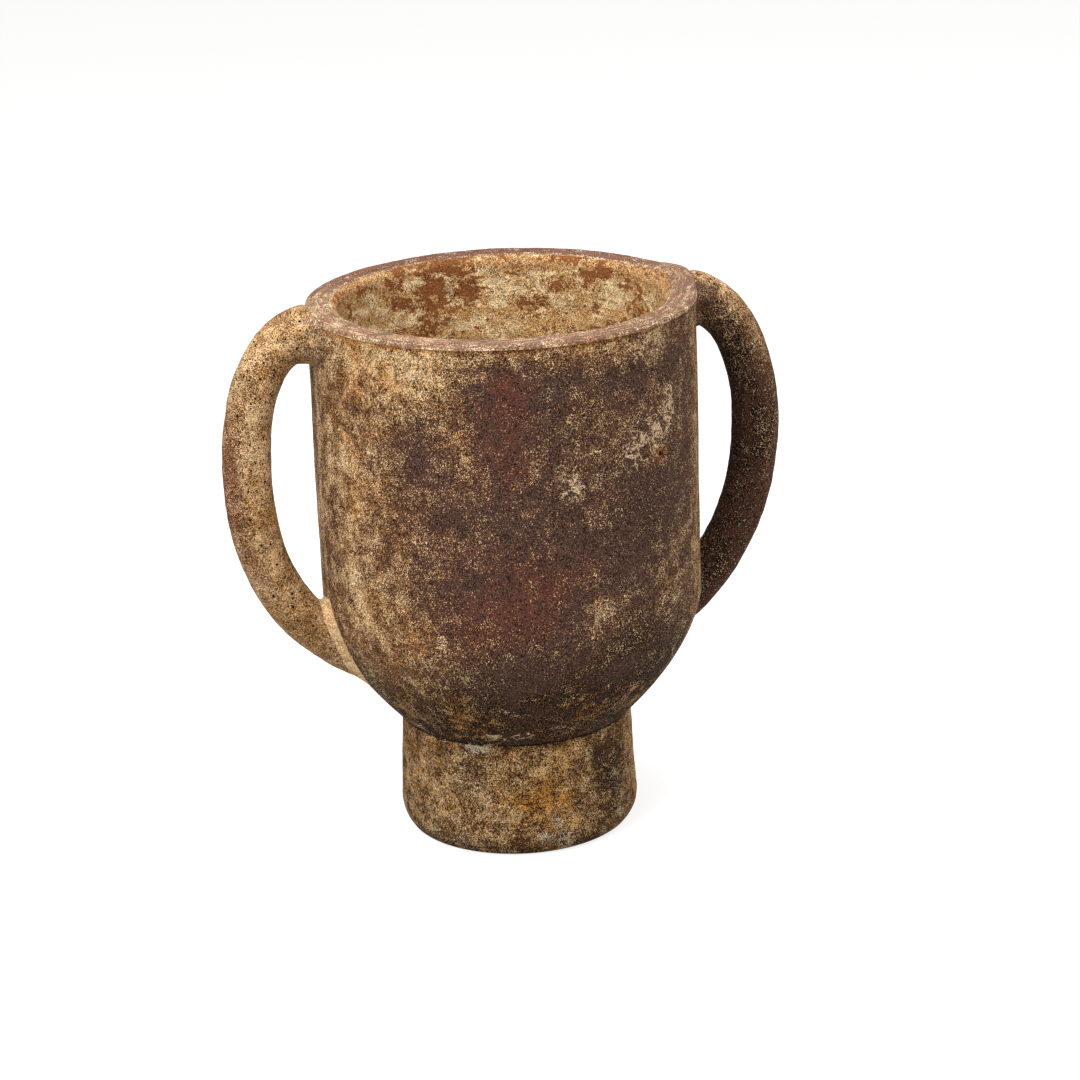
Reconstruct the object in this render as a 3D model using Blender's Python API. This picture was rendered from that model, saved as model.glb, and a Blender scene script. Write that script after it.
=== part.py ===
"""Two-handled terracotta vase, made the way a potter makes it, from separate pieces of clay.

A bowl sits in the cupped top of a hollow foot ring. A straight wall section stands on the bowl
and a rim coil closes the top of the wall. Two handles reach from the rim to the bowl. Pads and
beads of soft clay, called lutes, are pressed into the corners where the pieces meet.
Units are metres, +Z is up, the floor is at Z = 0 and the handles lie along X.
"""
import math

import bmesh
import bpy
from mathutils import Matrix, Vector

# Sizes of the body, in metres
RIM_HEIGHT = 0.400              # floor to the top of the rim
BODY_RADIUS = 0.1388            # outside of the straight wall
WALL_THICKNESS = 0.0222         # of the rim, the wall and the bowl
SHOULDER_HEIGHT = 0.177         # floor to where the wall turns into the bowl
NECK_HEIGHT = 0.090             # floor to the bottom of the bowl's visible side
NECK_RADIUS = 0.0868            # outside of the bowl at the neck height
BOWL_FULLNESS = 1.5             # power of the bowl's rounded outline: 2 would be an ellipse
FLOOR_THICKNESS = 0.022         # of the bowl's flat bottom
SLIP = 0.0003                   # layer of liquid clay between two pieces

# Sizes of the seams between the turned pieces
RIM_SEAM_OUTSIDE = 0.0055       # depth of the outer seam below the rim's top
RIM_SEAM_INSIDE = 0.038         # depth of the inner seam below the rim's top
RIM_OVERHANG = 0.0012           # how far the rim's lip stands out beyond the wall
RIM_OUTER_ROUND = 0.0035        # edge rounding
RIM_INNER_ROUND = 0.008
SHOULDER_SEAM_DROP = 0.024      # how much lower the shoulder seam is inside than outside
SEAM_LAND = 0.002               # flat strip at each end of a sloping seam

# Sizes of the foot
FOOT_TOP_RADIUS = 0.0848
FOOT_BASE_RADIUS = 0.0876
FOOT_WALL = 0.020
FOOT_ROUND_WIDTH = 0.0105       # rounded lower edge, across and up
FOOT_ROUND_HEIGHT = 0.0193
FOOT_LUTE_LEG = 0.006           # how far the bead reaches up the bowl and down the foot

# Sizes of the handles
HANDLE_RADIUS = 0.017
FINGER_GAP = 0.0350             # widest room between a handle and the wall
LEFT_HANDLE_RISE = 0.0065       # how far a handle's back stands above the rim
RIGHT_HANDLE_RISE = 0.003
LEFT_HANDLE_FOOT_DROP = 0.047   # lower end below the shoulder
RIGHT_HANDLE_FOOT_DROP = 0.046
HANDLE_OVERLAP = 0.014          # how far a handle's top lies over the rim
HANDLE_WIDEST_DROP = 0.113      # widest point below the rim's top
HANDLE_FOOT_SINK = 0.0029       # how deep the back of the lower end lies in the bowl
HANDLE_TOP_SLOPE = math.radians(10)
HANDLE_FOOT_ANGLE = math.radians(34)   # between the handle's end and the bowl's side
HANDLE_TOP_REACH = 0.045        # how long the curve keeps each direction
HANDLE_UPPER_REACH = 0.065
HANDLE_LOWER_REACH = 0.060
HANDLE_FOOT_REACH = 0.060

# Sizes of the handle lutes
LUTE_SPREAD = 0.012             # how far a lute reaches beyond the handle on the surface
UPPER_LUTE_BULGE = 0.009        # outward
LOWER_LUTE_BULGE = 0.011

# Fineness of the facets
TURN_STEPS = 64
CURVE_STEPS = 10
HANDLE_STEPS = 13
HANDLE_SIDES = 16
PAD_SIDES = 24

INNER_RADIUS = BODY_RADIUS - WALL_THICKNESS
NECK_SHARE = 1 - (NECK_RADIUS / BODY_RADIUS) ** BOWL_FULLNESS
BOWL_DEPTH = (SHOULDER_HEIGHT - NECK_HEIGHT) / NECK_SHARE ** (1 / BOWL_FULLNESS)


def bowl_point(turn, offset=0.0):
    """Point on the bowl's outline, from turn 0 at the shoulder, moved outward by an offset."""
    across = math.cos(turn) ** (2 / BOWL_FULLNESS)
    down = math.sin(turn) ** (2 / BOWL_FULLNESS)
    normal = Vector((across ** (BOWL_FULLNESS - 1) / BODY_RADIUS,
                     -down ** (BOWL_FULLNESS - 1) / BOWL_DEPTH)).normalized()
    return (BODY_RADIUS * across + offset * normal.x,
            SHOULDER_HEIGHT - BOWL_DEPTH * down + offset * normal.y)


def bowl_turn(axis, value, offset=0.0):
    """Turn at which the bowl's outline reaches a radius (axis 0) or a height (axis 1)."""
    low, high = 0.0, math.pi / 2
    for _ in range(50):
        middle = (low + high) / 2
        if bowl_point(middle, offset)[axis] > value:
            low = middle
        else:
            high = middle
    return low


def bowl_curve(first, last, offset=0.0, steps=CURVE_STEPS):
    """Points along the bowl's outline from one turn to another."""
    return [bowl_point(first + (last - first) * i / steps, offset) for i in range(steps + 1)]


def arc(centre, width, height, first, last, steps=4):
    """Points on an elliptical arc between two angles in degrees."""
    angles = [math.radians(first + (last - first) * i / steps) for i in range(steps + 1)]
    return [(centre[0] + width * math.cos(a), centre[1] + height * math.sin(a)) for a in angles]


def seam(outer_height, inner_height, inner_radius, lift=0.0):
    """Sloping seam from the outer face to the inner face, with a flat land at each end."""
    outer, inner = outer_height + lift, inner_height + lift
    return [(BODY_RADIUS, outer), (BODY_RADIUS - SEAM_LAND, outer),
            (inner_radius + SEAM_LAND, inner), (inner_radius, inner)]


def rim_edge(grow=0.0):
    """Rounded outer edge of the rim, from its flat top to the lip's face."""
    centre = (BODY_RADIUS + RIM_OVERHANG - RIM_OUTER_ROUND, RIM_HEIGHT - RIM_OUTER_ROUND)
    return arc(centre, RIM_OUTER_ROUND + grow, RIM_OUTER_ROUND + grow, 90, 0, 3)


def add_object(name, bm, colour=None):
    """Object from a bmesh: a piece of clay with a colour, or a hidden cutter without one."""
    bmesh.ops.remove_doubles(bm, verts=bm.verts, dist=1e-6)
    bmesh.ops.dissolve_degenerate(bm, edges=bm.edges, dist=1e-7)
    bmesh.ops.recalc_face_normals(bm, faces=bm.faces)
    mesh = bpy.data.meshes.new(name)
    bm.to_mesh(mesh)
    bm.free()
    mesh.shade_smooth()
    mesh.set_sharp_from_angle(angle=math.radians(35))
    piece = bpy.data.objects.new(name, mesh)
    bpy.context.collection.objects.link(piece)
    if colour is None:
        piece.hide_render = True
        piece.display_type = "WIRE"
        return piece
    clay = bpy.data.materials.new(name + "_clay")
    clay.use_nodes = True
    shader = clay.node_tree.nodes["Principled BSDF"]
    shader.inputs["Base Color"].default_value = colour
    shader.inputs["Roughness"].default_value = 0.9
    mesh.materials.append(clay)
    return piece


def turned(name, outline, colour=None):
    """Solid of revolution from a closed outline of (radius, height) points."""
    bm = bmesh.new()
    corners = [bm.verts.new((radius, 0.0, height)) for radius, height in outline]
    for here, there in zip(corners, corners[1:] + corners[:1]):
        bm.edges.new((here, there))
    bmesh.ops.spin(bm, geom=bm.verts[:] + bm.edges[:], cent=(0, 0, 0), axis=(0, 0, 1),
                   angle=math.tau, steps=TURN_STEPS, use_merge=True)
    return add_object(name, bm, colour)


def body_radius(height):
    """Outside radius of the body at a height."""
    if height >= SHOULDER_HEIGHT:
        return BODY_RADIUS
    return bowl_point(bowl_turn(1, height))[0]


def skin_slope(height):
    """Angle of the body's side from level, at a height."""
    step = WALL_THICKNESS / 4
    return math.atan2(2 * step, body_radius(height + step) - body_radius(height - step))


def handle_path(side, rise, foot_drop):
    """Centreline of a handle: two cubic curves that meet upright at the widest point."""
    top = Vector((BODY_RADIUS - HANDLE_OVERLAP, RIM_HEIGHT + rise - HANDLE_RADIUS))
    widest = Vector((BODY_RADIUS + FINGER_GAP + HANDLE_RADIUS, RIM_HEIGHT - HANDLE_WIDEST_DROP))
    foot_height = SHOULDER_HEIGHT - foot_drop
    foot_radius = body_radius(foot_height) - HANDLE_RADIUS - HANDLE_FOOT_SINK
    foot = Vector((foot_radius, foot_height))
    foot_slope = skin_slope(foot_height) - HANDLE_FOOT_ANGLE
    top_way = Vector((math.cos(HANDLE_TOP_SLOPE), math.sin(HANDLE_TOP_SLOPE)))
    foot_way = Vector((math.cos(foot_slope), math.sin(foot_slope)))
    upright = Vector((0, 1))
    curves = [
        (top, top + top_way * HANDLE_TOP_REACH, widest + upright * HANDLE_UPPER_REACH, widest),
        (widest, widest - upright * HANDLE_LOWER_REACH, foot + foot_way * HANDLE_FOOT_REACH, foot),
    ]
    path = []
    for a, b, c, d in curves:
        for i in range(HANDLE_STEPS + 1):
            t = i / HANDLE_STEPS
            u = 1 - t
            spot = a * u**3 + b * (3 * u * u * t) + c * (3 * u * t * t) + d * t**3
            path.append(Vector((side * spot.x, 0, spot.y)))
    del path[HANDLE_STEPS]
    return path


def tube(name, path, radius, colour=None):
    """Round bar along a path that lies in the XZ plane, closed at both ends."""
    bm = bmesh.new()
    rings = []
    for i, spot in enumerate(path):
        along = (path[min(i + 1, len(path) - 1)] - path[max(i - 1, 0)]).normalized()
        across = Vector((0, 1, 0))
        place = Matrix((across, along.cross(across), along)).transposed().to_4x4()
        place.translation = spot
        ring = bmesh.ops.create_circle(bm, cap_ends=False, segments=HANDLE_SIDES, radius=radius,
                                       matrix=place)
        rings.append(ring["verts"])
    for here, there in zip(rings, rings[1:]):
        edges = {e for v in here + there for e in v.link_edges if not e.link_faces or e.is_boundary}
        ends = [e for e in edges if set(e.verts) <= set(here) or set(e.verts) <= set(there)]
        bmesh.ops.bridge_loops(bm, edges=ends)
    bm.faces.new(rings[0])
    bm.faces.new(rings[-1])
    return add_object(name, bm, colour)


def landing_height(path, shift):
    """Height where a line beside a handle's centreline goes into the body at its lower end."""
    line = []
    for here, there in zip(path, path[1:]):
        along = (there - here).normalized()
        line.append(here + along.cross(Vector((0, 1, 0))) * shift)
    inside = outside = line[-1]
    for spot in reversed(line):
        inside, outside = outside, spot
        if abs(outside.x) > body_radius(outside.z):
            break
    for _ in range(40):
        middle = (inside + outside) / 2
        if abs(middle.x) > body_radius(middle.z):
            outside = middle
        else:
            inside = middle
    return inside.z


def pad(name, side, low, high, across, bulge, colour):
    """Domed pad of clay that lies on the body's side between two heights."""
    bm = bmesh.new()
    half_step = Matrix.Rotation(math.pi / PAD_SIDES, 4, "Z")
    bmesh.ops.create_uvsphere(bm, u_segments=PAD_SIDES, v_segments=PAD_SIDES // 2, radius=1.0,
                              matrix=half_step)
    for v in bm.verts:
        out, aside, up = v.co
        height = (low + high) / 2 + up * (high - low) / 2
        slope = skin_slope(height)
        radius = body_radius(height)
        turn = aside * across / radius
        radius += out * bulge * math.sin(slope)
        v.co = (side * radius * math.cos(turn), radius * math.sin(turn),
                height - out * bulge * math.cos(slope))
    return add_object(name, bm, colour)


def cut(piece, cutter):
    """Take a cutter away from a piece."""
    change = piece.modifiers.new("cut by " + cutter.name, "BOOLEAN")
    change.operation = "DIFFERENCE"
    change.solver = "EXACT"
    change.object = cutter


for item in list(bpy.data.objects):
    bpy.data.objects.remove(item)

BODY_CLAY = (0.18, 0.10, 0.06, 1)
HANDLE_CLAY = (0.26, 0.16, 0.09, 1)
LUTE_CLAY = (0.50, 0.35, 0.20, 1)

# Turns at the places where the bowl's outline starts, ends or meets a neighbour
SEAM_INNER_HEIGHT = SHOULDER_HEIGHT - SHOULDER_SEAM_DROP
SEAM_TURN = bowl_turn(1, SEAM_INNER_HEIGHT, -WALL_THICKNESS)
SEAM_INNER_RADIUS = bowl_point(SEAM_TURN, -WALL_THICKNESS)[0]
CREASE_TURN = bowl_turn(0, FOOT_TOP_RADIUS, SLIP)
BASE_TURN = bowl_turn(0, FOOT_TOP_RADIUS - FOOT_WALL)
BASE_RADIUS, BASE_HEIGHT = bowl_point(BASE_TURN)
FLOOR_HEIGHT = BASE_HEIGHT + FLOOR_THICKNESS
FLOOR_TURN = bowl_turn(1, FLOOR_HEIGHT, -WALL_THICKNESS)

# The foot ring, cupped at the top to hold the bowl
foot_seat = bowl_curve(CREASE_TURN, BASE_TURN, SLIP, 4)
foot_round = arc((FOOT_BASE_RADIUS - FOOT_ROUND_WIDTH, FOOT_ROUND_HEIGHT),
                 FOOT_ROUND_WIDTH, FOOT_ROUND_HEIGHT, -90, 0)
turned("foot_ring", foot_round + foot_seat + [(foot_seat[-1][0], 0.0)], BODY_CLAY)

# The bead of clay in the crease between the bowl and the foot
bead_gap = 2 * SLIP
crease = bowl_point(CREASE_TURN, SLIP)
bead_top_turn = bowl_turn(1, crease[1] + FOOT_LUTE_LEG)
bead_top = bowl_curve(bead_top_turn, CREASE_TURN, bead_gap, 2)
foot_lean = (FOOT_BASE_RADIUS - FOOT_TOP_RADIUS) / (crease[1] - FOOT_ROUND_HEIGHT)
bead_foot_radius = FOOT_TOP_RADIUS + foot_lean * FOOT_LUTE_LEG + bead_gap
bead_foot = (bead_foot_radius, crease[1] - FOOT_LUTE_LEG)
bead_inner = (FOOT_TOP_RADIUS + bead_gap, crease[1])
bead_middle = ((bead_top[0][0] + bead_foot[0]) / 2 + 0.0006, crease[1] + FOOT_LUTE_LEG * 0.15)
turned("foot_lute", bead_top[:2] + [bead_inner, bead_foot, bead_middle], LUTE_CLAY)

# The bowl, with a flat bottom and a sloping seat for the wall
bowl_outside = [(0.0, BASE_HEIGHT)] + bowl_curve(BASE_TURN, 0.0, 0.0, 14)
bowl_seat = seam(SHOULDER_HEIGHT, SEAM_INNER_HEIGHT, SEAM_INNER_RADIUS)
bowl_inside = bowl_curve(SEAM_TURN, FLOOR_TURN, -WALL_THICKNESS)[1:] + [(0.0, FLOOR_HEIGHT)]
turned("bowl", bowl_outside + bowl_seat[1:] + bowl_inside, BODY_CLAY)

# The straight wall section, which stands in the bowl's seat
wall_foot = seam(SHOULDER_HEIGHT, SEAM_INNER_HEIGHT, SEAM_INNER_RADIUS, 1.5 * SLIP)
wall_inside = bowl_curve(SEAM_TURN, 0.0, -WALL_THICKNESS, 4)
wall_top = seam(RIM_HEIGHT - RIM_SEAM_OUTSIDE, RIM_HEIGHT - RIM_SEAM_INSIDE, INNER_RADIUS)
turned("wall_section", wall_foot + wall_inside[1:] + wall_top[::-1], BODY_CLAY)

# The rim coil, which lies in the wall's sloping top
rim_foot = seam(RIM_HEIGHT - RIM_SEAM_OUTSIDE, RIM_HEIGHT - RIM_SEAM_INSIDE, INNER_RADIUS,
                2 * SLIP)
lip_foot = [(BODY_RADIUS + RIM_OVERHANG, rim_foot[0][1])]
rim_inner_edge = arc((INNER_RADIUS + RIM_INNER_ROUND, RIM_HEIGHT - RIM_INNER_ROUND),
                     RIM_INNER_ROUND, RIM_INNER_ROUND, 180, 90)
turned("rim_coil", lip_foot + rim_foot[1:] + rim_inner_edge + rim_edge(), BODY_CLAY)

# Cutter with the outline of the body, grown by the slip
lip_step = [(BODY_RADIUS + RIM_OVERHANG + SLIP, lip_foot[0][1] - SLIP),
            (BODY_RADIUS + SLIP, lip_foot[0][1] - SLIP)]
body_outline = rim_edge(SLIP) + lip_step + bowl_curve(0.0, BASE_TURN, SLIP, 14)
body_outline.append((0.0, BASE_HEIGHT))
body_cutter = turned("body_cutter", [(0.0, RIM_HEIGHT + SLIP)] + body_outline)

# The two handles and the pads of clay round their ends
HANDLES = (("left", -1, LEFT_HANDLE_RISE, LEFT_HANDLE_FOOT_DROP),
           ("right", 1, RIGHT_HANDLE_RISE, RIGHT_HANDLE_FOOT_DROP))
for label, side, rise, foot_drop in HANDLES:
    path = handle_path(side, rise, foot_drop)
    handle = tube(label + "_handle", path, HANDLE_RADIUS, HANDLE_CLAY)
    cut(handle, body_cutter)
    handle_cutter = tube(label + "_handle_cutter", path, HANDLE_RADIUS + SLIP)
    across = HANDLE_RADIUS + LUTE_SPREAD
    upper_low = RIM_HEIGHT + rise - 2 * HANDLE_RADIUS - LUTE_SPREAD
    upper_lute = pad(label + "_upper_lute", side, upper_low, RIM_HEIGHT, across, UPPER_LUTE_BULGE,
                     LUTE_CLAY)
    ends = sorted(landing_height(path, shift) for shift in (-HANDLE_RADIUS, HANDLE_RADIUS))
    lower_lute = pad(label + "_lower_lute", side, ends[0] - LUTE_SPREAD, ends[1] + LUTE_SPREAD,
                     across, LOWER_LUTE_BULGE, LUTE_CLAY)
    for lute in (upper_lute, lower_lute):
        cut(lute, body_cutter)
        cut(lute, handle_cutter)
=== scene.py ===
# %% [markdown]
# # A weathered terracotta vase
# The vase is built from clay sections: a foot ring, a bowl, a straight wall, a rim coil, two
# loop handles, and the soft clay that was thumbed into their joints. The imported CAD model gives
# the frame. Each piece here replaces one CAD node with a finer mesh that has the uneven skin of
# hand-made pottery, and the materials give it the look of old, rubbed and dusty clay.

# %% Load the frame
import math

import bmesh
import bpy
import numpy as np
from mathutils import Matrix, Vector, noise


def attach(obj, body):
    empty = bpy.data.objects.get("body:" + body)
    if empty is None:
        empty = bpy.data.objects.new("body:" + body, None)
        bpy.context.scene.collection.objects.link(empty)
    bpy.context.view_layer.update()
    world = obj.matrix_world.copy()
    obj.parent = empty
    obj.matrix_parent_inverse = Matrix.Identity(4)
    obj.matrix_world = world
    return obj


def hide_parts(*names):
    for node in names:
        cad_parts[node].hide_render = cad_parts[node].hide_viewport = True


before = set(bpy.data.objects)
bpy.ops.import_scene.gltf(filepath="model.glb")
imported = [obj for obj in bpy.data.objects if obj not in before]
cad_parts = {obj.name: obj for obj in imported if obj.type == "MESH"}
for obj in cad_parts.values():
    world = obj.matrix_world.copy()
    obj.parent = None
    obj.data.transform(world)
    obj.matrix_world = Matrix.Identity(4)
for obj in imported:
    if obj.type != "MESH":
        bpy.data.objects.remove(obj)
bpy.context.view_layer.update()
print("CAD nodes:", sorted(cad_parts))

# %% [markdown]
# ## The camera
# The photograph was taken from a little above, with a long lens. Fitting the rim's and the
# foot's ellipses gives where the camera stood: 2.2 m away, almost 1 m up, and 15 degrees to the
# left of square to the handles. The picture is also tipped by 2 degrees. Angles are in radians.

# %% Camera
VIEW_BEARING = math.radians(15.3)
CAMERA_AWAY, CAMERA_HEIGHT = 2.2039, 0.9625
AIM_ASIDE, AIM_DOWN, ROLL = 0.0099, 0.3274, 0.0349
camera_data = bpy.data.cameras.new("camera")
camera_data.sensor_width = 36.0
camera_data.lens = 106.27
camera = bpy.data.objects.new("camera", camera_data)
bpy.context.scene.collection.objects.link(camera)
stand = Vector((-CAMERA_AWAY * math.sin(VIEW_BEARING), -CAMERA_AWAY * math.cos(VIEW_BEARING),
                CAMERA_HEIGHT))
turned = Matrix.Rotation(-VIEW_BEARING - AIM_ASIDE, 4, "Z")
tipped = Matrix.Rotation(math.pi / 2 - AIM_DOWN, 4, "X")
rolled = Matrix.Rotation(-ROLL, 4, "Z")
camera.matrix_world = Matrix.Translation(stand) @ turned @ tipped @ rolled
bpy.context.scene.camera = camera
print("camera at", [round(c, 3) for c in stand])

# %% [markdown]
# ## Floor, background and light
# The photograph has a plain white ground and soft light. The floor is a pale disc that glows a
# little for the camera, so it reads as white but still keeps a soft shadow. Five square lamps
# light the vase: the key above and to the left, one overhead, a weaker fill on the right, and a
# faint one at each side that keeps the edges from going black. The world adds an even grey.

# %% One function that adds a node
def add(tree, kind, links=None, **settings):
    node = tree.nodes.new("ShaderNode" + kind)
    for name, value in settings.items():
        setattr(node, name, value)
    for socket, value in (links or {}).items():
        if isinstance(value, bpy.types.NodeSocket):
            tree.links.new(value, node.inputs[socket])
        else:
            node.inputs[socket].default_value = value
    return node


def linear(hex_colour):
    """An sRGB hex colour as the linear colour that a shader takes."""
    parts = [int(hex_colour[i:i + 2], 16) / 255 for i in (1, 3, 5)]
    return [c / 12.92 if c <= 0.04045 else ((c + 0.055) / 1.055) ** 2.4 for c in parts] + [1.0]


def new_material(name):
    material = bpy.data.materials.new(name)
    material.use_nodes = True
    material.node_tree.nodes.clear()
    return material, material.node_tree


# %% Floor and world
bm = bmesh.new()
bmesh.ops.create_circle(bm, cap_ends=True, segments=96, radius=9.0)
floor_mesh = bpy.data.meshes.new("floor")
bm.to_mesh(floor_mesh)
bm.free()
floor = bpy.data.objects.new("floor", floor_mesh)
bpy.context.scene.collection.objects.link(floor)

# Paper: the camera sees it lit up to white, and the vase gets only its dull grey bounce
paper, tree = new_material("white_paper_floor")
seen = add(tree, "LightPath")
direct = add(tree, "Math", {0: seen.outputs["Is Camera Ray"], 1: seen.outputs["Is Glossy Ray"]},
             operation="MAXIMUM")
glow = add(tree, "Emission", {"Color": linear("#ffffff"), "Strength": 0.78})
matte = add(tree, "BsdfDiffuse", {"Color": linear("#a8a8a8")})
both = add(tree, "AddShader", {0: glow.outputs[0], 1: matte.outputs[0]})
plain = add(tree, "BsdfDiffuse", {"Color": linear("#b4b2ae")})
choice = add(tree, "MixShader", {0: direct.outputs[0], 1: plain.outputs[0], 2: both.outputs[0]})
add(tree, "OutputMaterial", {"Surface": choice.outputs[0]})
floor_mesh.materials.append(paper)

# The camera sees white all round, and the vase gets a dim, slightly warm grey
world = bpy.data.worlds.new("studio")
bpy.context.scene.world = world
world.use_nodes = True
tree = world.node_tree
tree.nodes.clear()
seen = add(tree, "LightPath")
direct = add(tree, "Math", {0: seen.outputs["Is Camera Ray"], 1: seen.outputs["Is Glossy Ray"]},
             operation="MAXIMUM")
white = add(tree, "Background", {"Color": linear("#ffffff"), "Strength": 1.0})
ambient = add(tree, "Background", {"Color": linear("#f2efe9"), "Strength": 0.42})
choice = add(tree, "MixShader", {0: direct.outputs[0], 1: ambient.outputs[0],
                                 2: white.outputs[0]})
add(tree, "OutputWorld", {"Surface": choice.outputs[0]})
bpy.context.scene.view_settings.view_transform = "Standard"
print("stage:", floor.name, world.name)


# %% Lamps
def lamp(name, bearing, distance, height, size, watts):
    """Square soft light aimed at the vase. The bearing counts from the camera, left is minus."""
    data = bpy.data.lights.new(name, "AREA")
    data.shape = "SQUARE"
    data.size = size
    data.energy = watts
    around = math.radians(bearing) - VIEW_BEARING
    place = Vector((distance * math.sin(around), -distance * math.cos(around), height))
    item = bpy.data.objects.new(name, data)
    item.location = place
    item.rotation_euler = (Vector((0, 0, 0.25)) - place).to_track_quat("-Z", "Y").to_euler()
    bpy.context.scene.collection.objects.link(item)


lamp("key_light", -42, 1.7, 1.85, 1.3, 40)
lamp("top_light", 10, 0.3, 2.3, 1.3, 52)
lamp("fill_light", 50, 2.2, 1.2, 1.6, 14)
lamp("left_edge_light", -105, 1.8, 0.7, 1.2, 4.5)
lamp("right_edge_light", 105, 1.8, 0.7, 1.2, 6)

# %% [markdown]
# ## Sizes
# These are the vase's own sizes in metres. The bowl's outline is a rounded curve between an
# ellipse and a straight cone. It is written as a formula, so that the handles and the clay at
# their joints can ask how far any point is from the body's skin.

# %% Sizes and the body's outline
RIM_TOP, RIM_SEAM, RIM_SEAM_IN = 0.400, 0.3958, 0.362
WALL_R, INNER_R, LIP_R = 0.1388, 0.1166, 0.1400
SHOULDER, SEAM_IN = 0.177, 0.153
NECK, NECK_R, FULLNESS = 0.090, 0.0868, 1.5
BOWL_DEPTH = (SHOULDER - NECK) / (1 - (NECK_R / WALL_R) ** FULLNESS) ** (1 / FULLNESS)
WALL = WALL_R - INNER_R


def bowl_at(turn, offset=0.0):
    """Radius and height on the bowl's outline; turn 0 is the shoulder, an offset moves outward."""
    across = max(math.cos(turn), 0.0) ** (2 / FULLNESS)
    down = math.sin(turn) ** (2 / FULLNESS)
    normal = Vector((across ** (FULLNESS - 1) / WALL_R, -down ** (FULLNESS - 1) / BOWL_DEPTH))
    normal.normalize()
    return (WALL_R * across + offset * normal.x, SHOULDER - BOWL_DEPTH * down + offset * normal.y)


def bowl_turn_at(height, offset=0.0):
    """Turn at which the bowl's outline, moved by the offset, passes a height."""
    low, high = 0.0, math.pi / 2
    for _ in range(40):
        middle = (low + high) / 2
        low, high = (middle, high) if bowl_at(middle, offset)[1] > height else (low, middle)
    return low


def skin_radius(height):
    """Outside radius of the body at a height."""
    if height >= SHOULDER:
        return WALL_R
    share = min((SHOULDER - height) / BOWL_DEPTH, 0.999)
    return WALL_R * (1 - share ** FULLNESS) ** (1 / FULLNESS)


def skin_gap(point):
    """Distance of a point from the body's skin, minus inside."""
    radius = math.hypot(point.x, point.y)
    slope = (skin_radius(point.z + 0.001) - skin_radius(point.z - 0.001)) / 0.002
    side = (radius - skin_radius(point.z)) / math.sqrt(1 + slope * slope)
    edge = 0.004
    q = Vector((side + edge, point.z - RIM_TOP + edge))
    outside = Vector((max(q.x, 0), max(q.y, 0))).length
    return outside + min(max(q.x, q.y), 0) - edge


def skin_normal(point):
    """The way straight off the body's skin."""
    step = 0.0004
    axes = (Vector((step, 0, 0)), Vector((0, step, 0)), Vector((0, 0, step)))
    return Vector([skin_gap(point + a) - skin_gap(point - a) for a in axes]).normalized()


print("bowl depth", round(BOWL_DEPTH, 4))

# %% [markdown]
# ## Turned pieces
# A potter's section is round, so each one is an outline that spins once round the axis. The
# outline has a point every millimetre or two on the faces that show. That is fine enough for the
# small lumps and hollows that hands leave, which are added afterwards by moving each vertex a
# little with smooth noise.

# %% Outline, spin and hand-made lumps
def stroke(points, spacing):
    """Evenly spaced points along a line of (radius, height) points, without the last one."""
    made = []
    for (r0, z0), (r1, z1) in zip(points, points[1:]):
        count = max(1, round(math.hypot(r1 - r0, z1 - z0) / spacing))
        made += [(r0 + (r1 - r0) * i / count, z0 + (z1 - z0) * i / count) for i in range(count)]
    return made


def spin_outline(outline, steps):
    """Spin one sixteenth of a turn, then double it four times until the ring is whole."""
    bm = bmesh.new()
    corners = [bm.verts.new((radius, 0, height)) for radius, height in outline]
    lines = [bm.edges.new(pair) for pair in zip(corners, corners[1:] + corners[:1])]
    bmesh.ops.spin(bm, geom=corners + lines, cent=(0, 0, 0), axis=(0, 0, 1),
                   angle=math.tau / 16, steps=steps // 16)
    for share in (16, 8, 4, 2):
        made = bmesh.ops.duplicate(bm, geom=bm.verts[:] + bm.edges[:] + bm.faces[:])["geom"]
        bmesh.ops.rotate(bm, cent=(0, 0, 0), matrix=Matrix.Rotation(math.tau / share, 3, "Z"),
                         verts=[part for part in made if isinstance(part, bmesh.types.BMVert)])
    bmesh.ops.remove_doubles(bm, verts=bm.verts, dist=1e-6)
    bmesh.ops.recalc_face_normals(bm, faces=bm.faces)
    return bm


def hand_lump(point, rough=1.0):
    """How far hands and tools moved the skin at a point: waves about 110 mm long, dents of
    30 mm and small bumps of 7 mm."""
    slow = noise.noise(point * 9.0)
    dent = noise.noise(point * 34.0 + Vector((7, 3, 1)))
    small = noise.noise(point * 150.0)
    return 0.0007 * slow + rough * (0.00030 * dent + 0.00014 * small)


def roughen(bm, rough=1.0, along_normal=False):
    """Move every vertex by its lump, straight out from the axis or along its normal."""
    bm.normal_update()
    moves = []
    for v in bm.verts:
        way = v.normal if along_normal else Vector((v.co.x, v.co.y, 0)).normalized()
        moves.append(way * hand_lump(v.co, rough))
    for v, move in zip(bm.verts, moves):
        v.co += move


def smooth(share):
    """Ease from 0 to 1."""
    share = min(max(share, 0.0), 1.0)
    return share * share * (3 - 2 * share)


def finish_piece(bm, name, node, materials):
    """Make the object, ride it on the vase's one body and let it stand for its CAD node."""
    mesh = bpy.data.meshes.new(name)
    bm.to_mesh(mesh)
    bm.free()
    mesh.shade_smooth()
    mesh.set_sharp_from_angle(angle=math.radians(50))
    piece = bpy.data.objects.new(name, mesh)
    bpy.context.scene.collection.objects.link(piece)
    for material in materials:
        mesh.materials.append(material)
    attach(piece, "root")
    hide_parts(node)
    print(name, len(mesh.polygons), "faces")
    return piece


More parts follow.
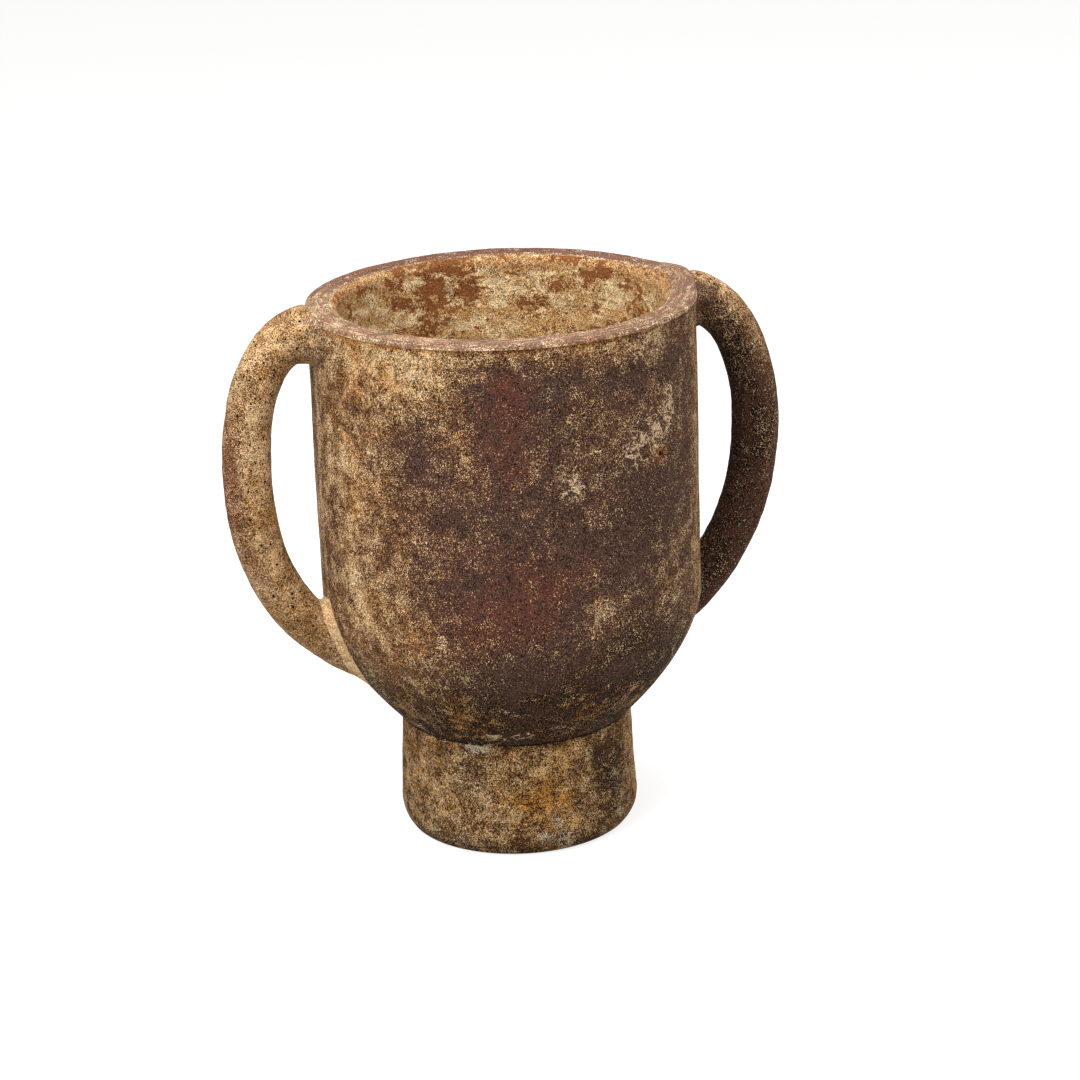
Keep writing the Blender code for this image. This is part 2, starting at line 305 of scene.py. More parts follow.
# %% [markdown]
# ## What the clay looks like
# The vase was fired low and then antiqued. Under everything is a dark umber clay with a brown
# stain, rust-red patches and soot. Over it lies a thin tan slip, ochre in places, that has worn
# to grains: thick here and gone there. On top is pale lime, in thin branching crusts on the body
# and in flakes on the other pieces. Inside, slip and lime have peeled off in sheets and bare red
# clay. Crumbs of slip are 2.4 mm wide, flakes 9 to 12 mm and the sheets inside 22 mm. Each vertex
# carries how much of each layer it has: tan, ochre, rust, flake, soot and pits. The soot layer
# also holds painted shade: in the crease above the foot, along the sole's edge, under the lip and
# on the handles' sides away from the light. The material breaks those amounts up with noise at
# these sizes, and paints light and shade on the grain: high grain lighter, low grain darker.

# %% Layered clay material
# Real grit is about 0.3 mm, which a pixel swallows, so it is drawn twice as coarse
GRIT_MM, CRUMB_MM = 0.62, 2.4
HOLE_R, HOLE_EDGE_R = 0.0016, 0.0021
RELIEF = 0.0011


def layered_clay(name, umber, umber_pale, stain, rust, soot_and_shade, tan, cream, ochre, flake,
                 flake_mm=9, crumble=1.0, peeling=0.0, branch=False, mottle=1.0, squash=1.0,
                 pit_mm=4.2, streak=0.4, streak_mm=2.5, speck=0.85, depth=0.5, bump=1.0, hole=None):
    """Clay with its layers, from hex colours and sizes in mm. Crumble frays the flakes, peeling
    bares red clay, branch makes crusts, mottle and squash shape the slip's patches, streak draws
    lines round the axis, speck sets how dark the specks go, and depth how far the grain's tone
    swings, partly as painted light and shade of its relief."""
    material, tree = new_material(name)
    place = add(tree, "TexCoord").outputs["Object"]
    amount = {layer: add(tree, "Attribute", attribute_name=layer).outputs["Fac"]
              for layer in ("tan", "rust", "flake", "soot_and_shade", "pit", "ochre")}

    def fractal(size_mm, detail, roughness, distortion=0.0, start=0.0):
        moved = add(tree, "VectorMath", {0: place, 1: (1, 1, squash), 2: (start, start, start)},
                    operation="MULTIPLY_ADD")
        node = add(tree, "TexNoise", {"Vector": moved.outputs[0], "Scale": 1000 / size_mm,
                                      "Detail": detail, "Roughness": roughness,
                                      "Distortion": distortion})
        return node.outputs[0]

    broad = fractal(48, 4.0, 0.6)
    middle = fractal(11, 5.0, 0.65, 0.3)
    crumb = fractal(CRUMB_MM, 2.0, 0.6, 0.4, 0.7)
    grit = fractal(GRIT_MM, 0.0, 0.5)
    fleck = fractal(1.5 * GRIT_MM, 0.0, 0.5, 0.0, 1.3)
    peel = fractal(flake_mm, *((3.0, 0.55) if branch else (8.0, 0.7)), 0.3)
    hue = fractal(26, 4.0, 0.6)
    pores = add(tree, "TexVoronoi", {"Vector": place, "Scale": 1000 / pit_mm})
    if branch:
        # Thin crusts that branch lie along the lines where the noise crosses its middle
        off = add(tree, "Math", {0: peel, 1: 0.5}, operation="SUBTRACT").outputs[0]
        off = add(tree, "Math", {0: off}, operation="ABSOLUTE").outputs[0]
        peel = add(tree, "MapRange", {"Value": off, "From Max": 0.1, "To Min": 1.0,
                                      "To Max": 0.0}).outputs[0]

    # Streaks that run round the axis: the noise changes slowly with the bearing
    flat = add(tree, "VectorMath", {0: place, 1: (1, 1, 0)}, operation="MULTIPLY").outputs[0]
    reach = add(tree, "VectorMath", {0: flat}, operation="LENGTH").outputs["Value"]
    way = add(tree, "VectorMath", {0: flat}, operation="NORMALIZE").outputs[0]
    slow = add(tree, "VectorMath", {0: way, "Scale": 5.0}, operation="SCALE").outputs[0]
    rise = add(tree, "SeparateXYZ", {0: place}).outputs[2]
    deep = add(tree, "Math", {0: reach, 1: 1000 / streak_mm}, operation="MULTIPLY").outputs[0]
    level = add(tree, "CombineXYZ", {2: deep}).outputs[0]
    spot = add(tree, "VectorMath", {0: slow, 1: level}, operation="ADD").outputs[0]
    high = add(tree, "Math", {0: rise, 1: 1000 / streak_mm}, operation="MULTIPLY").outputs[0]
    brush = add(tree, "TexNoise", {"Vector": spot, "W": high, "Scale": 1.0, "Detail": 3.0,
                                   "Roughness": 0.6}, noise_dimensions="4D").outputs[0]

    def cover(layer, parts, low, high):
        """Where a layer lies: its amount plus weighted noise, cut off softly."""
        total = amount[layer]
        for texture, weight in parts:
            total = add(tree, "Math", {0: texture, 1: weight, 2: total},
                        operation="MULTIPLY_ADD").outputs[0]
        shift = 0.5 * sum(weight for _, weight in parts)
        return add(tree, "MapRange", {"Value": total, "From Min": low + shift,
                                      "From Max": high + shift},
                   interpolation_type="SMOOTHSTEP").outputs[0]

    def over(below, above, mask):
        mix = add(tree, "Mix", {0: mask, 6: below, 7: above}, data_type="RGBA")
        return mix.outputs[2]

    # Clay, then its brown stain, rust and soot
    grain = add(tree, "MapRange", {"Value": grit, "From Min": 0.3, "From Max": 0.7}).outputs[0]
    patchy = add(tree, "Math", {0: middle, 1: 1.2, 2: fleck}, operation="MULTIPLY_ADD").outputs[0]
    blend = add(tree, "MapRange", {"Value": patchy, "From Min": 1.02, "From Max": 1.18}).outputs[0]
    colour = over(linear(umber), linear(umber_pale), grain)
    thin = cover("tan", [(broad, 0.5), (middle, 0.4), (brush, streak)], 0.12, 0.72)
    colour = over(colour, linear(stain), thin)
    red = cover("rust", [(broad, 1.2), (middle, 1.0 + peeling), (crumb, 0.8 - 0.5 * peeling),
                         (peel, -1.4 * peeling)], 0.30 + 0.08 * peeling, 0.90 - 0.47 * peeling)
    colour = colour if peeling else over(colour, linear(rust), red)
    dark = cover("soot_and_shade", [(broad, 1.1), (middle, 1.6), (crumb, 1.0), (brush, 1.5 * streak)],
                 0.32, 0.72)
    colour = over(colour, linear(soot_and_shade), dark)

    # Slip worn to grains, lime flakes, then the grain's tone over all of it, partly painted light
    # and shade
    slip = over(linear(tan), linear(cream), blend)
    slip = over(slip, linear(ochre), cover("ochre", [(hue, 1.5), (fleck, 2.4)], 0.46, 0.66))
    tan_cover = cover("tan", [(broad, 0.9 * mottle), (middle, 1.3 * mottle), (crumb, 0.6),
                              (grit, 2.0), (brush, streak)], 0.56, 0.78)
    colour = over(colour, slip, tan_cover)
    colour = over(colour, linear(rust), red) if peeling else colour
    edge = 0.74 if branch else 0.47
    flakes = cover("flake", [(peel, 1.0 if branch else 2.2), (crumb, crumble),
                             (grit, 1.2 * crumble), (brush, streak)], edge, edge + 0.07)
    colour = over(colour, linear(flake), flakes)
    # Painted light and shade of the grain: where the grain stands high it is lighter, where it is
    # low it is darker
    uneven = add(tree, "Math", {0: crumb, 1: 0.6, 2: grit}, operation="MULTIPLY_ADD").outputs[0]
    grain_tone_and_shade = add(tree, "MapRange", {"Value": uneven, "From Min": 0.54, "From Max": 1.06,
                                   "To Min": 1 - depth, "To Max": 1 + depth}).outputs[0]
    colour = add(tree, "VectorMath", {0: colour, "Scale": grain_tone_and_shade}, operation="SCALE").outputs[0]
    sparse = add(tree, "Math", {0: middle, 1: 0.5, 2: fleck}, operation="MULTIPLY_ADD").outputs[0]
    specks = add(tree, "MapRange", {"Value": sparse, "From Min": 0.63, "From Max": 0.59,
                                    "To Max": speck}).outputs[0]
    colour = over(colour, linear(soot_and_shade), specks)

    # Open pores: small dark pits of many widths, and the one round hole, a dark disc of painted
    # shade
    size = add(tree, "SeparateColor", {0: pores.outputs["Color"]}).outputs[0]
    wanted = add(tree, "Math", {0: size, 1: amount["pit"]}, operation="MULTIPLY").outputs[0]
    width = add(tree, "Math", {0: wanted, 1: 0.42}, operation="MULTIPLY").outputs[0]
    inside = add(tree, "Math", {0: width, 1: pores.outputs["Distance"]},
                 operation="SUBTRACT").outputs[0]
    pits = add(tree, "MapRange", {"Value": inside, "From Min": 0.0, "From Max": 0.10},
               interpolation_type="SMOOTHSTEP").outputs[0]
    if hole:
        away = add(tree, "VectorMath", {0: place, 1: hole}, operation="DISTANCE").outputs["Value"]
        painted_hole_shade = add(tree, "MapRange", {"Value": away, "From Min": HOLE_EDGE_R,
                                       "From Max": HOLE_R})
        pits = add(tree, "Math", {0: pits, 1: painted_hole_shade.outputs[0]}, operation="MAXIMUM").outputs[0]
    colour = over(colour, linear(soot_and_shade), pits)

    # Slip and lime stand proud of the clay, specks and pores are sunk into it
    height = grit
    for layer, weight in ((tan_cover, 0.4), (flakes, 0.5), (brush, 0.6 * streak), (specks, -0.8),
                          (pits, -1.8)):
        height = add(tree, "Math", {0: layer, 1: weight, 2: height},
                     operation="MULTIPLY_ADD").outputs[0]
    relief = add(tree, "Bump", {"Strength": bump, "Distance": RELIEF, "Height": height})
    # Dry clay without a glaze has almost no sheen
    shader = add(tree, "BsdfPrincipled", {"Base Color": colour, "Normal": relief.outputs[0],
                                          "Roughness": 0.92, "IOR": 1.45,
                                          "Specular IOR Level": 0.10})
    add(tree, "OutputMaterial", {"Surface": shader.outputs[0]})
    return material


# %% The finishes
HOLE_BEARING = math.radians(35)
HOLE = (WALL_R * math.sin(HOLE_BEARING), -WALL_R * math.cos(HOLE_BEARING), 0.304)

# Body: dull dark brown with red patches, dusted with tan grains and crossed by pale crusts
antiqued_clay = layered_clay("antiqued_terracotta", hole=HOLE, umber="#3a2720",
                             umber_pale="#6b5145", stain="#82583a", rust="#6a4033",
                             soot_and_shade="#1c110b", tan="#bb9062", cream="#ecce9f", ochre="#d99544",
                             flake="#dcbd9a", crumble=0.3, branch=True, mottle=0.9, speck=0.95,
                             depth=0.55)

# Handles: sandy and open, so that light catches on the grains between small black pores
porous_clay = layered_clay("porous_terracotta", umber="#3d261d", umber_pale="#634437",
                           stain="#8a623e", rust="#7d4735", soot_and_shade="#190e0a", tan="#bd9468",
                           cream="#dfbc92", ochre="#cf9540", flake="#c6aa8c", pit_mm=3.4,
                           mottle=0.7, speck=0.75, depth=0.45)

# Foot: golden slip over dark grains, with faint lines where it was smoothed
golden_clay = layered_clay("golden_terracotta_foot", umber="#2c1c13", umber_pale="#54402f",
                           stain="#6c482c", rust="#6a3d28", soot_and_shade="#170e09", tan="#b48a5a",
                           cream="#dab888", ochre="#d0923a", flake="#d6c2a6", mottle=1.1,
                           pit_mm=3.4, streak=0.8, speck=0.95, depth=0.45)

# Inside: bright cream lime that peels in sheets and bares orange-red clay
washed_clay = layered_clay("lime_washed_terracotta", umber="#95603e", umber_pale="#ad7a52",
                           stain="#cc9c68", rust="#965e36", soot_and_shade="#4a3022", tan="#e8ba80",
                           cream="#f8d8a2", ochre="#e0a850", flake="#f6d8a6", flake_mm=22,
                           crumble=0.3, peeling=1.0, squash=1.5, streak=0.6, streak_mm=5.0,
                           speck=0.95, depth=0.55, bump=0.9)

# Rim: rubbed to a greyish pink, with fine lines along the coil
rim_clay = layered_clay("rubbed_terracotta_rim", umber="#70523f", umber_pale="#8c6c5c",
                        stain="#94705a", rust="#84533f", soot_and_shade="#4b382e", tan="#bb956a",
                        cream="#d4b494", ochre="#c89a58", flake="#eed8b8", streak=2.2,
                        streak_mm=2.0, speck=0.7, depth=0.4, bump=0.9)

# Joints: pale clay that a thumb wiped smooth, with few dark grains
luting_clay = layered_clay("smeared_luting_clay", umber="#5a4232", umber_pale="#7d6048",
                           stain="#b8905f", rust="#8a5c40", soot_and_shade="#33251c", tan="#d6ab7c",
                           cream="#f0cea0", ochre="#cf9146", flake="#f0d8b0", flake_mm=12,
                           pit_mm=5.0, speck=0.25, depth=0.35, bump=0.7)
print("finishes:", [m.name for m in bpy.data.materials])

# %% [markdown]
# ## Where the layers lie
# Wear isn't even. The left side kept most of its tan slip, the middle shows rusty clay, the right
# is darker with grey flakes, and the bowl's underside is nearly black. Each worn place is an oval
# patch, given by its bearing in degrees round the axis (0 faces -Y, plus is to the right), its
# height, its half width and half height in millimetres, and how strong it is.

# %% Patches of wear on the body
PATCHES = {
    # The tan at -97 degrees is partly painted light: it lightens the wall's left edge where the
    # left handle casts its shadow
    "tan": [(-70, 330, 60, 130, 0.36), (-66, 200, 46, 80, 0.26), (-97, 290, 16, 160, 0.34),
            (-88, 300, 3, 120, 0.60),
            (-43, 376, 30, 18, 0.54), (-62, 385, 60, 26, 0.20), (-17, 392, 110, 11, 0.34),
            (25, 390, 60, 12, 0.22), (-30, 345, 14, 26, 0.18), (-28, 318, 14, 20, 0.22),
            (-45, 190, 40, 34, 0.16), (-40, 150, 30, 26, 0.08), (12, 202, 22, 18, 0.20),
            (40, 210, 24, 45, 0.14), (11, 168, 60, 14, 0.10), (-15, 340, 24, 36, -0.22),
            (-13, 370, 16, 14, -0.16), (-40, 320, 16, 20, -0.10), (-13, 215, 45, 28, -0.20),
            (28, 262, 36, 36, -0.10), (0, 318, 26, 28, 0.08), (63, 300, 14, 140, 0.36),
            (30, 340, 44, 44, 0.10),
            (58, 200, 18, 90, 0.24), (150, 250, 120, 150, 0.20), (215, 330, 90, 60, 0.22),
            (90, 120, 60, 60, 0.05), (35, 304, 6, 6, 0.40), (0, 150, 90, 40, -0.08),
            (0, 116, 130, 30, 0.17)],
    "rust": [(-17, 334, 34, 50, 0.42), (-13, 218, 60, 40, 0.40), (-42, 272, 36, 40, 0.30),
             (50, 300, 12, 60, 0.35), (66, 290, 14, 110, 0.35), (35, 304, 5, 5, 0.9),
             (-30, 190, 40, 26, 0.25), (5, 245, 40, 26, 0.20), (-13, 372, 16, 14, 0.30),
             (170, 300, 100, 60, 0.35), (230, 200, 60, 80, 0.30)],
    "flake": [(40, 338, 8, 18, 0.60), (31, 322, 18, 12, 0.58), (24, 308, 14, 8, 0.58),
              (3, 296, 12, 10, 0.66), (28, 330, 50, 60, 0.26), (-88, 325, 8, 60, 0.75),
              # The lime at -97 degrees is partly painted light on the wall's left edge, in the left
              # handle's shadow
              (-97, 300, 8, 110, 0.40),
              (12, 202, 18, 12, 0.50), (42, 205, 10, 36, 0.50), (54, 230, 5, 60, 0.50),
              (-43, 376, 16, 9, 0.60), (-44, 168, 20, 10, 0.60), (-38, 150, 14, 8, 0.50),
              (-21, 126, 20, 8, 0.46), (26, 118, 22, 12, 0.40), (31, 385, 25, 12, 0.50),
              (-26, 98, 14, 5, 0.66), (-12, 99, 12, 5, 0.68), (2, 104, 10, 5, 0.55),
              (0, 393, 12, 6, 0.50), (-10, 260, 60, 50, 0.10), (160, 220, 50, 50, 0.25),
              (200, 350, 60, 30, 0.25), (120, 330, 40, 40, 0.20)],
    "soot_and_shade": [(8, 350, 30, 30, 0.16), (30, 262, 44, 40, 0.24), (5, 116, 260, 48, 0.56),
             (24, 176, 40, 18, 0.28), (180, 112, 260, 46, 0.45), (-100, 110, 60, 40, 0.25),
             (44, 160, 30, 40, 0.15)],
    "ochre": [(-62, 360, 40, 60, 0.14), (-70, 300, 50, 60, 0.10), (-50, 190, 30, 40, 0.16),
              (0, 114, 150, 34, 0.44), (35, 304, 6, 6, 0.60)],
}


def paint(piece, base, patches=None, edit=None):
    """Store each layer's amount on the vertices: a base amount, plus patches, plus an edit."""
    mesh = piece.data
    count = len(mesh.vertices)
    place = np.empty(count * 3)
    mesh.vertices.foreach_get("co", place)
    place = place.reshape(-1, 3)
    facing = np.empty(count * 3)
    mesh.vertices.foreach_get("normal", facing)
    facing = facing.reshape(-1, 3)
    bearing = np.degrees(np.arctan2(place[:, 0], -place[:, 1]))
    radius = np.hypot(place[:, 0], place[:, 1])
    layers = {name: np.full(count, amount) for name, amount in base.items()}
    for layer, spots in (patches or {}).items():
        for around, height, width, tall, strength in spots:
            turn = (bearing - around + 180) % 360 - 180
            across = np.radians(turn) * radius * 1000 / width
            up = (place[:, 2] * 1000 - height) / tall
            layers[layer] += strength * np.exp(-across ** 2 - up ** 2)
    if edit:
        edit(layers, place, facing)
    for layer, values in layers.items():
        store = mesh.attributes.new(layer, "FLOAT", "POINT")
        store.data.foreach_set("value", np.clip(values, 0, 1.2).astype(np.float32))


BODY_BASE = {"tan": 0.20, "rust": 0.18, "flake": 0.0, "soot_and_shade": 0.13, "pit": 0.25, "ochre": 0.14}
INSIDE_BASE = {"tan": 0.86, "rust": 0.345, "flake": 0.42, "soot_and_shade": 0.04, "pit": 0.45, "ochre": 0.25}
print("patches:", {layer: len(spots) for layer, spots in PATCHES.items()})

# %% [markdown]
# ## The foot ring
# The foot is a short hollow cylinder that widens a little downward. Its lower edge is rounded
# from being stood on, and its top is cupped to take the bowl. Most of its tan slip is left.

# %% Foot ring
FOOT_TOP_R, FOOT_BASE_R, FOOT_IN_R = 0.0848, 0.0876, 0.0650
ROUND_W, ROUND_H, SOLE = 0.0105, 0.0193, 0.002
SLIP_GAP = 0.0003
lower_edge = [(FOOT_BASE_R - ROUND_W + ROUND_W * math.sin(a), ROUND_H - ROUND_H * math.cos(a))
              for a in [math.pi / 2 * i / 14 for i in range(15)]]
cup_edge, cup_end = (FOOT_TOP_R - 0.0016, 0.0870), (FOOT_IN_R, 0.0706)
cup = [bowl_at(bowl_turn_at(h), SLIP_GAP) for h in (0.0828, 0.0784, 0.0742, 0.0710)]
foot_outline = (stroke([(FOOT_IN_R, 0), lower_edge[0]], 0.003) + lower_edge[:-1]
                + stroke([lower_edge[-1], (FOOT_TOP_R, 0.0850), (FOOT_TOP_R - 0.0004, 0.0862),
                          cup_edge], 0.0014)
                + stroke([cup_edge] + cup + [cup_end], 0.006)
                + stroke([cup_end, (FOOT_IN_R, 0)], 0.004))
bm = spin_outline(foot_outline, 400)
# The sole stays flat, and all the rest gets its lumps
for v in bm.verts:
    if v.co.z > SOLE:
        out = Vector((v.co.x, v.co.y, 0)).normalized()
        v.co += out * hand_lump(v.co, 1.6)
foot = finish_piece(bm, "foot_ring_skin", "foot_ring", [golden_clay])
paint(foot, {"tan": 0.56, "rust": 0.14, "flake": 0.06, "soot_and_shade": 0.25, "pit": 0.35, "ochre": 0.2}, {
    "tan": [(-6, 45, 40, 26, 0.26), (36, 50, 24, 30, -0.30), (-58, 50, 22, 30, 0.10),
            (60, 60, 20, 40, 0.08), (-36, 55, 12, 26, -0.16)],
    "soot_and_shade": [(34, 50, 22, 26, 0.35), (8, 62, 25, 14, 0.15), (-38, 62, 12, 20, 0.25),
             # The band 5 mm up, all round, is painted contact shadow along the sole's edge
             (-30, 5, 400, 7, 0.45), (14, 28, 14, 6, 0.25)],
    "ochre": [(-6, 42, 26, 14, 0.50), (-60, 66, 16, 16, 0.25)],
    "flake": [(-36, 85, 10, 5, 0.9), (4, 14, 20, 7, 0.40), (-46, 14, 8, 10, 0.35),
              (44, 20, 16, 8, 0.25)]})

# %% [markdown]
# ## The bowl and the straight wall
# The bowl carries the wall on a sloping seam, which is thumbed over outside and can't be seen.
# Both pieces get their lumps from the same noise, so their skins meet without a step. The faces
# inside take the lime-washed finish: they are the second material on each piece. High on the
# right of the wall is a shallow dent, such as a lump of grit leaves, and in it a small round hole
# that is only painted, as a dark disc of painted shade.

# %% Bowl
BASE_Z, BETWEEN_FLOORS, FLOOR_Z = 0.0709, 0.085, 0.0929
base_turn = bowl_turn_at(BASE_Z)
outer = [bowl_at(base_turn * (1 - i / 60)) for i in range(61)]
seam_turn = bowl_turn_at(SEAM_IN, -WALL)
floor_turn = bowl_turn_at(FLOOR_Z, -WALL)
inner = [bowl_at(seam_turn + (floor_turn - seam_turn) * i / 24, -WALL) for i in range(25)]
bowl_outline = (stroke([(0, BASE_Z), outer[0]], 0.012) + stroke(outer, 0.0016)
                + stroke([outer[-1], inner[0]], 0.008)
                + stroke(inner, 0.004) + stroke([inner[-1], (0, FLOOR_Z)], 0.006)
                + [(0, FLOOR_Z)])
bm = spin_outline(bowl_outline, 448)
roughen(bm)
for f in bm.faces:
    c = f.calc_center_median()
    deep = math.hypot(c.x, c.y) < skin_radius(c.z) - 0.5 * WALL
    f.material_index = 1 if deep and c.z > BETWEEN_FLOORS else 0
bowl = finish_piece(bm, "bowl_skin", "bowl", [antiqued_clay, washed_clay])


def lime_inside(layers, place, facing):
    """Lime-washed faces inside, and the seams at the rim: in the one outside, ochre with painted
    shade under the lip's overhang, and slip worn off the left of the one inside."""
    outside = facing[:, 0] * place[:, 0] + facing[:, 1] * place[:, 1] > 0
    low_floor = ((place[:, 2] > BETWEEN_FLOORS) & (facing[:, 2] > 0.2)
                 & (place[:, 2] < SHOULDER))
    inner = (~outside & (place[:, 2] > 0.09)) | low_floor
    for layer, value in INSIDE_BASE.items():
        layers[layer] = np.where(inner, value, layers[layer])
    # Painted shade under the lip's overhang, over ochre clay
    lip_shade_seam = outside & (place[:, 2] > RIM_SEAM - 0.0026)
    layers["soot_and_shade"] += 0.2 * lip_shade_seam
    layers["ochre"] += 0.4 * lip_shade_seam
    left = np.clip(-place[:, 0] / INNER_R, 0, 1)
    layers["tan"] -= 0.7 * left * (inner & (abs(place[:, 2] - RIM_SEAM_IN) < 0.001))


paint(bowl, BODY_BASE, PATCHES, lime_inside)

# %% Wall section
DENT_R, DENT_DEPTH = 0.004, 0.0012
seat_low = bowl_at(seam_turn, -WALL)
wall_inner = [bowl_at(seam_turn * (1 - i / 12), -WALL) for i in range(13)]
wall_outline = (stroke([(WALL_R, RIM_SEAM), (WALL_R, SHOULDER)], 0.0017)
                + stroke([(WALL_R, SHOULDER), (seat_low[0], seat_low[1] + 0.0004)], 0.008)
                + stroke(wall_inner + [(INNER_R, RIM_SEAM_IN)], 0.0034)
                + stroke([(INNER_R, RIM_SEAM_IN), (WALL_R, RIM_SEAM)], 0.010))
bm = spin_outline(wall_outline, 480)
roughen(bm)
for v in bm.verts:
    near = 1 - (v.co - Vector(HOLE)).length / DENT_R
    if near > 0:
        v.co -= Vector((v.co.x, v.co.y, 0)).normalized() * DENT_DEPTH * near
for f in bm.faces:
    c = f.calc_center_median()
    f.material_index = 1 if math.hypot(c.x, c.y) < WALL_R - 0.6 * WALL else 0
wall = finish_piece(bm, "wall_skin", "wall_section", [antiqued_clay, washed_clay])
paint(wall, BODY_BASE, PATCHES, lime_inside)

# %% [markdown]
# ## The rim coil
# The last coil closes the wall. It slopes down inside to a seam 38 mm below the top, and its
# outer lip stands a little proud, with a fine seam under it. Hands have worn its edges pale and
# uneven, so its lumps are stronger. At the right handle it was pulled up to meet the roll's top.

# %% Rim coil
LIP_ROUND, MOUTH_ROUND = 0.0035, 0.008
RISE, RISE_BEARING, RISE_SPREAD = 0.0064, 87, 16
under_lip, lip_edge = (WALL_R - 0.002, RIM_SEAM + 0.0005), (LIP_R, RIM_SEAM + 0.0005)
inside_end = (INNER_R, RIM_SEAM_IN + 0.0006)
lip = [(LIP_R - LIP_ROUND + LIP_ROUND * math.sin(a), RIM_TOP - LIP_ROUND + LIP_ROUND * math.cos(a))
       for a in [math.pi / 2 * (1 - i / 6) for i in range(7)]]
mouth = [(INNER_R + MOUTH_ROUND - MOUTH_ROUND * math.sin(a),
          RIM_TOP - MOUTH_ROUND + MOUTH_ROUND * math.cos(a))
         for a in [math.pi / 2 * i / 9 for i in range(10)]]
rim_outline = (stroke([under_lip, lip_edge], 0.0011) + stroke([lip_edge] + lip, 0.0010)
               + stroke([lip[-1], mouth[0]], 0.0012) + stroke(mouth, 0.0012)
               + stroke([mouth[-1], inside_end], 0.0022)
               + stroke([inside_end, under_lip], 0.01))
bm = spin_outline(rim_outline, 560)
roughen(bm, rough=1.5, along_normal=True)
for v in bm.verts:
    bearing = math.degrees(math.atan2(v.co.x, -v.co.y))
    lift = RISE * math.exp(-((bearing - RISE_BEARING) / RISE_SPREAD) ** 2)
    v.co.z += lift * smooth((v.co.z - RIM_SEAM - 0.0008) / 0.003)
for f in bm.faces:
    c = f.calc_center_median()
    f.material_index = 1 if math.hypot(c.x, c.y) < INNER_R + 0.004 else 0
rim = finish_piece(bm, "rim_coil_skin", "rim_coil", [rim_clay, washed_clay])


def rim_wear(layers, place, facing):
    """Tan slip on the lip's face, rubbed clay on top, and lime on the face inside."""
    lip_face = np.clip((RIM_TOP - 0.002 - place[:, 2]) / 0.002, 0, 1)
    within = np.hypot(place[:, 0], place[:, 1]) < INNER_R + 0.006
    layers["tan"] += 0.45 * lip_face * ~within
    for layer, value in INSIDE_BASE.items():
        layers[layer] = np.where(within, value, layers[layer])
    mouth_edge = within * np.clip((place[:, 2] - RIM_TOP + 0.016) / 0.008, 0, 1)
    layers["tan"] -= 0.30 * mouth_edge
    layers["flake"] -= 0.20 * mouth_edge
    layers["soot_and_shade"] += 0.30 * mouth_edge


paint(rim, {"tan": 0.36, "rust": 0.30, "flake": 0.08, "soot_and_shade": 0.12, "pit": 0.15, "ochre": 0.10}, {
    "flake": [(60, 398, 40, 40, 0.06)],
    "rust": [(180, 398, 200, 60, 0.40), (-30, 398, 30, 40, 0.2)],
    "soot_and_shade": [(180, 398, 200, 60, 0.30)],
    "tan": [(-95, 396, 90, 60, 0.20), (90, 396, 40, 60, 0.12), (0, 398, 150, 60, 0.10),
            (180, 398, 180, 60, -0.32)]},
      rim_wear)

# %% [markdown]
# ## The handles
# A handle is a thick roll of clay, bent and pressed on at both ends. Its centreline is two curves
# that meet upright at the widest point. A ring of vertices is extruded along it, and each new
# ring is moved to its place with one matrix. Near the wall the roll flares and droops a little.
# Its top end narrows and sinks under the rim, and its lower end goes into the bowl, as soft clay
# does. No point goes deeper than 12 mm into the 22 mm wall, so nothing comes through inside.

# %% Handle path
HANDLE_R, FINGER_ROOM = 0.017, 0.0350
WIDEST = Vector((WALL_R + FINGER_ROOM + HANDLE_R, 0.287))


def handle_path(side, rise, reach, foot, lean, pull, steps):
    """Points along a handle's centreline; reach and pull stretch its upper and lower bend, and
    the lean is how steeply its lower end comes in."""
    top = Vector((WALL_R - 0.014, RIM_TOP + rise - HANDLE_R))
    foot = Vector(foot)
    out = Vector((math.cos(math.radians(10)), math.sin(math.radians(10))))
    down = Vector((math.cos(math.radians(lean)), math.sin(math.radians(lean))))
    upright = Vector((0, 1))
    bends = [(top, top + out * reach, WIDEST + upright * 0.065, WIDEST),
             (WIDEST, WIDEST - upright * 0.090, foot + down * pull, foot)]
    path = []
    for a, b, c, d in bends:
        for i in range(steps):
            t = i / steps
            u = 1 - t
            spot = a * u**3 + b * (3 * u * u * t) + c * (3 * u * t * t) + d * t**3
            path.append(Vector((side * spot.x, 0, spot.y)))
    path.append(Vector((side * bends[1][3].x, 0, bends[1][3].y)))
    return path


def ring_frames(path):
    """A matrix for each point of a path: X across, Y outward, Z along."""
    frames = []
    for i, spot in enumerate(path):
        along = (path[min(i + 1, len(path) - 1)] - path[max(i - 1, 0)]).normalized()
        across = Vector((0, 1, 0))
        turned = Matrix((across, along.cross(across), along)).transposed().to_4x4()
        turned.translation = spot
        frames.append(turned)
    return frames


def roll_of_clay(frames, radii, sides):
    """Extrude a ring through the frames, each with its own radius, and close both ends."""
    bm = bmesh.new()
    made = bmesh.ops.create_circle(bm, cap_ends=True, segments=sides, radius=1.0)
    ring = made["verts"]
    edges = [e for e in bm.edges if all(v in ring for v in e.verts)]
    last = Matrix.Identity(4)
    for place, radius in zip(frames, radii):
        now = place @ Matrix.Diagonal((radius, radius, radius, 1))
        bmesh.ops.transform(bm, matrix=now @ last.inverted(), verts=ring)
        last = now
        if place is not frames[-1]:
            made = bmesh.ops.extrude_edge_only(bm, edges=edges)["geom"]
            ring = [g for g in made if isinstance(g, bmesh.types.BMVert)]
            edges = [g for g in made if isinstance(g, bmesh.types.BMEdge)
                     and all(v in ring for v in g.verts)]
    bmesh.ops.holes_fill(bm, edges=edges, sides=0)
    bmesh.ops.recalc_face_normals(bm, faces=bm.faces)
    return bm


